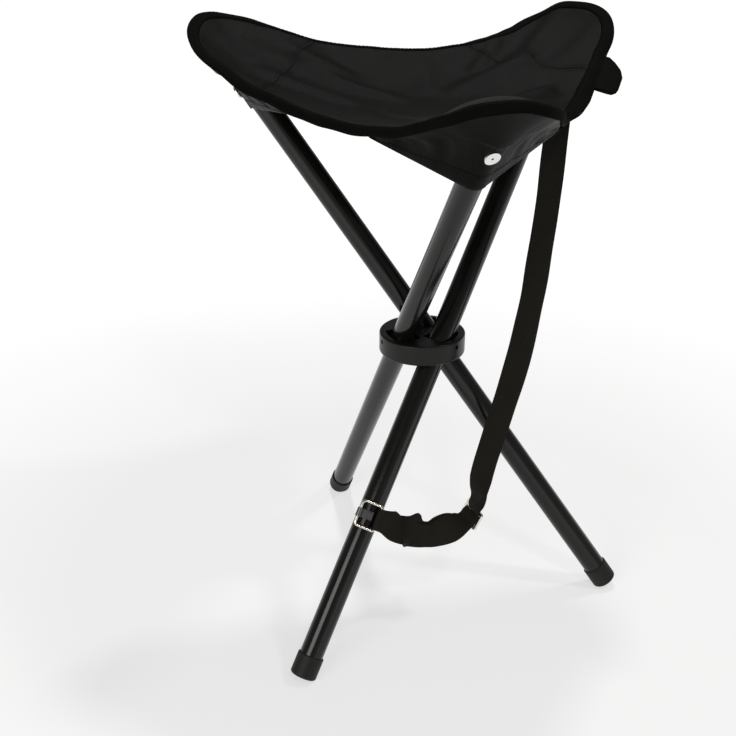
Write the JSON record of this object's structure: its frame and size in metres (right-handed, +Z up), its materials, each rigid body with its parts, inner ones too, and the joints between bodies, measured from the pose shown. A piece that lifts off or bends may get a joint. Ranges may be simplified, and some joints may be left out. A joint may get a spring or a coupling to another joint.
{
  "type": "tripod stool",
  "caption": "Folding tripod stool: tube legs crossing in a slotted hub on radial pins, a lobed cloth sling seat on the leg tops, rubber feet and a webbing carrying strap.",
  "frame": {"origin": "on the hub's axis at floor level", "axes": "+Z up along the hub's axis; -Y towards the viewer of the picture, about ten degrees to its left"},
  "size_m": [0.4757, 0.4378, 0.6412],
  "materials": {
    "leg_paint": "satin black paint on steel tube",
    "hub_plastic": "satin moulded",
    "plug_plastic": "matt moulded",
    "foot_rubber": "matt",
    "seat_cloth": "coated plain weave",
    "binding_tape": "woven tape",
    "webbing": "woven webbing",
    "nickel": "nickel-plated wire and sheet",
    "zinc": "bright rivet",
    "pin_steel": "plain"
  },
  "bodies": {
    "hub": {"hub_body": "hub_plastic", "pivot_pin_a": "pin_steel", "pivot_pin_b": "pin_steel", "pivot_pin_c": "pin_steel", "seat_panel": "seat_cloth", "edge_binding": "binding_tape"},
    "leg_a": {"leg_tube_a": "leg_paint", "top_plug_a": "plug_plastic", "foot_cap_a": "foot_rubber", "pocket_a": "seat_cloth", "pocket_rivet_a": "zinc"},
    "leg_b": {"leg_tube_b": "leg_paint", "top_plug_b": "plug_plastic", "foot_cap_b": "foot_rubber", "pocket_b": "seat_cloth", "pocket_rivet_b": "zinc", "strap_upper": "webbing", "strap_lower": "webbing", "strap_slider": "nickel", "strap_tab": "webbing", "ring_saddle": "pin_steel", "saddle_rivet": "nickel"},
    "leg_c": {"leg_tube_c": "leg_paint", "top_plug_c": "plug_plastic", "foot_cap_c": "foot_rubber", "pocket_c": "seat_cloth", "pocket_rivet_c": "zinc"},
    "ring": {"strap_ring": "nickel"}
  },
  "joints": [
    {"name": "leg_a_fold", "type": "hinge", "parent": "hub", "child": "leg_a", "pos_m": [-0.02009, -0.0116, 0.3105], "axis": [-0.866, -0.5, 0], "range_deg": [0, 36], "deforming": ["pocket_a", "seat_panel", "edge_binding"]},
    {"name": "leg_b_fold", "type": "hinge", "parent": "hub", "child": "leg_b", "pos_m": [0.02009, -0.0116, 0.3105], "axis": [0.866, -0.5, 0], "range_deg": [0, 36], "deforming": ["pocket_b", "strap_upper", "strap_lower"]},
    {"name": "leg_c_fold", "type": "hinge", "parent": "hub", "child": "leg_c", "pos_m": [0, 0.0232, 0.3105], "axis": [0, 1, 0], "range_deg": [0, 36], "deforming": ["pocket_c"]},
    {"name": "ring_swing", "type": "hinge", "parent": "leg_b", "child": "ring", "pos_m": [-0.04527, -0.12547, 0.16239], "axis": [-0.2939, -0.509, -0.809], "range_deg": [-6, 110], "deforming": ["strap_lower"]}
  ],
  "couplings": [
    {"joint": "leg_b_fold", "follows": "leg_a_fold", "ratio": 1},
    {"joint": "leg_c_fold", "follows": "leg_a_fold", "ratio": 1}
  ]
}
